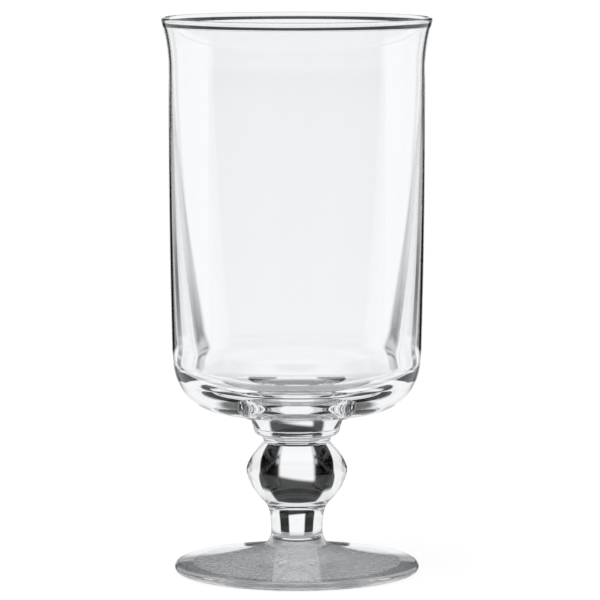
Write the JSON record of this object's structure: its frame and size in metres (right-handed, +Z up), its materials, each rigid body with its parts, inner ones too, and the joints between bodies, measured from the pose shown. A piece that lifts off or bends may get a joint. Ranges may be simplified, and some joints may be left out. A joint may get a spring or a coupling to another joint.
{
  "type": "stemmed goblet",
  "caption": "Clear glass goblet with a straight-sided bowl, turned-out lip, rounded heel, collar, ball knop, short shank and round coned foot; holds a tall cold drink.",
  "frame": {"origin": "centre of the underside of the foot, on the table", "axes": "+Z up along the axis of the glass, towards the lip; X and Y are free, as the glass is round"},
  "size_m": [0.0866, 0.0866, 0.178],
  "materials": {
    "bowl_glass": "blown and fire-polished clear soda-lime glass",
    "stem_glass": "hot-worked solid clear soda-lime glass",
    "foot_glass": "pressed and fire-polished clear soda-lime glass"
  },
  "bodies": {
    "root": {"foot": "foot_glass", "stem_shank": "stem_glass", "ball_knop": "stem_glass", "stem_collar": "stem_glass", "bowl": "bowl_glass"}
  },
  "joints": []
}
